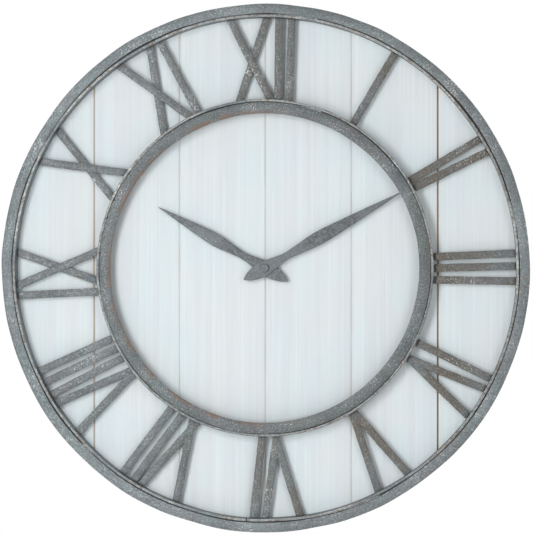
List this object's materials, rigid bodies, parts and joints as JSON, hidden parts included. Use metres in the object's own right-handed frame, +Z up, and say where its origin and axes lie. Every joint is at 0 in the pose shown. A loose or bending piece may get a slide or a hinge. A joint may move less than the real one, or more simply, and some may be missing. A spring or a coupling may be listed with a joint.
{
  "type": "wall clock",
  "caption": "Round farmhouse wall clock: galvanised double-ring frame with flat-bar Roman numerals over whitewashed boards, leaf-shaped hands, quartz movement behind.",
  "frame": {"origin": "on the hand axis, at the centre of the clock's box, midway between the front of the rings and the wall", "axes": "+Z up, towards twelve o'clock; +Y back, into the wall; +X towards three o'clock; the dial faces -Y"},
  "size_m": [0.6858, 0.05, 0.6858],
  "materials": {
    "galvanised_steel": "weathered galvanised grey with pale bloom and rust-brown flecks",
    "whitewashed_board": "pale blue-white whitewash over straight-grained boards",
    "pine_batten": "plain sawn pine",
    "hand_metal": "dark grey paint on sheet aluminium",
    "black_plastic": "moulded black plastic",
    "white_plastic": "natural acetal plastic",
    "brass": "turned brass",
    "bright_steel": "zinc-plated steel",
    "copper_wire": "enamelled copper wire",
    "green_board": "printed circuit board",
    "magnet": "sintered magnet on a plastic pinion",
    "cell_wrap": "plain blue wrapper on a dry cell"
  },
  "bodies": {
    "clock_body": {"batten_lower": "pine_batten", "batten_upper": "pine_batten", "battery_cell": "cell_wrap", "board_1": "whitewashed_board", "board_2": "whitewashed_board", "board_3": "whitewashed_board", "board_4": "whitewashed_board", "board_5": "whitewashed_board", "board_6": "whitewashed_board", "circuit_board": "green_board", "contact_minus": "bright_steel", "contact_plus": "bright_steel", "drive_coil": "copper_wire", "hanger_plate": "bright_steel", "inner_flange": "galvanised_steel", "inner_hoop": "galvanised_steel", "movement_back_cover": "black_plastic", "movement_case": "black_plastic", "numeral_01_bar": "galvanised_steel", "numeral_02_pair": "galvanised_steel", "numeral_03_bar_a": "galvanised_steel", "numeral_03_bar_b": "galvanised_steel", "numeral_03_bar_c": "galvanised_steel", "numeral_04_bar": "galvanised_steel", "numeral_04_vee": "galvanised_steel", "numeral_05_vee": "galvanised_steel", "numeral_06_bar": "galvanised_steel", "numeral_06_vee": "galvanised_steel", "numeral_07_bar_a": "galvanised_steel", "numeral_07_bar_b": "galvanised_steel", "numeral_07_vee": "galvanised_steel", "numeral_08_bar_a": "galvanised_steel", "numeral_08_bar_b": "galvanised_steel", "numeral_08_bar_c": "galvanised_steel", "numeral_08_vee": "galvanised_steel", "numeral_09_bar": "galvanised_steel", "numeral_09_cross": "galvanised_steel", "numeral_10_cross": "galvanised_steel", "numeral_11_bar": "galvanised_steel", "numeral_11_cross": "galvanised_steel", "numeral_12_bar_a": "galvanised_steel", "numeral_12_bar_b": "galvanised_steel", "numeral_12_cross": "galvanised_steel", "outer_flange": "galvanised_steel", "outer_hoop": "galvanised_steel", "stator": "bright_steel", "stem_nut": "brass", "stem_washer": "bright_steel"},
    "minute_hand_group": {"minute_hand": "hand_metal", "hand_cap_nut": "hand_metal", "cannon_pinion": "brass"},
    "hour_hand_group": {"hour_hand": "hand_metal", "hour_wheel": "white_plastic"},
    "minute_wheel_group": {"minute_wheel": "white_plastic"},
    "set_knob_group": {"set_knob": "white_plastic"},
    "seconds_wheel_group": {"seconds_wheel": "white_plastic"},
    "third_wheel_group": {"third_wheel": "white_plastic"},
    "centre_wheel_group": {"centre_wheel": "white_plastic"},
    "intermediate_wheel_group": {"intermediate_wheel": "white_plastic"},
    "rotor_group": {"rotor": "magnet"}
  },
  "joints": [
    {"name": "minute_hand_turn", "type": "hinge", "parent": "clock_body", "child": "minute_hand_group", "pos_m": [0, 0, 0], "axis": [0, 1, 0], "continuous": true},
    {"name": "hour_hand_turn", "type": "hinge", "parent": "clock_body", "child": "hour_hand_group", "pos_m": [0, 0, 0], "axis": [0, 1, 0], "continuous": true},
    {"name": "minute_wheel_turn", "type": "hinge", "parent": "clock_body", "child": "minute_wheel_group", "pos_m": [0.00902, 0, -0.00328], "axis": [0, 1, 0], "continuous": true},
    {"name": "set_knob_turn", "type": "hinge", "parent": "clock_body", "child": "set_knob_group", "pos_m": [0.01847, 0, -0.00162], "axis": [0, 1, 0], "continuous": true},
    {"name": "seconds_wheel_turn", "type": "hinge", "parent": "clock_body", "child": "seconds_wheel_group", "pos_m": [0, 0, 0], "axis": [0, 1, 0], "continuous": true},
    {"name": "third_wheel_turn", "type": "hinge", "parent": "clock_body", "child": "third_wheel_group", "pos_m": [0.00612, 0, 0.0106], "axis": [0, 1, 0], "continuous": true},
    {"name": "centre_wheel_turn", "type": "hinge", "parent": "clock_body", "child": "centre_wheel_group", "pos_m": [0, 0, 0], "axis": [0, 1, 0], "continuous": true},
    {"name": "intermediate_wheel_turn", "type": "hinge", "parent": "clock_body", "child": "intermediate_wheel_group", "pos_m": [-0.01198, 0, 0.00063], "axis": [0, 1, 0], "continuous": true},
    {"name": "rotor_turn", "type": "hinge", "parent": "clock_body", "child": "rotor_group", "pos_m": [-0.01576, 0, 0.00997], "axis": [0, 1, 0], "continuous": true}
  ],
  "couplings": [
    {"joint": "hour_hand_turn", "follows": "minute_hand_turn", "ratio": 0.083333},
    {"joint": "minute_wheel_turn", "follows": "minute_hand_turn", "ratio": -0.33333},
    {"joint": "set_knob_turn", "follows": "minute_hand_turn", "ratio": 1},
    {"joint": "third_wheel_turn", "follows": "seconds_wheel_turn", "ratio": -0.13333},
    {"joint": "centre_wheel_turn", "follows": "seconds_wheel_turn", "ratio": 0.016667},
    {"joint": "intermediate_wheel_turn", "follows": "seconds_wheel_turn", "ratio": -5},
    {"joint": "rotor_turn", "follows": "seconds_wheel_turn", "ratio": 30}
  ]
}
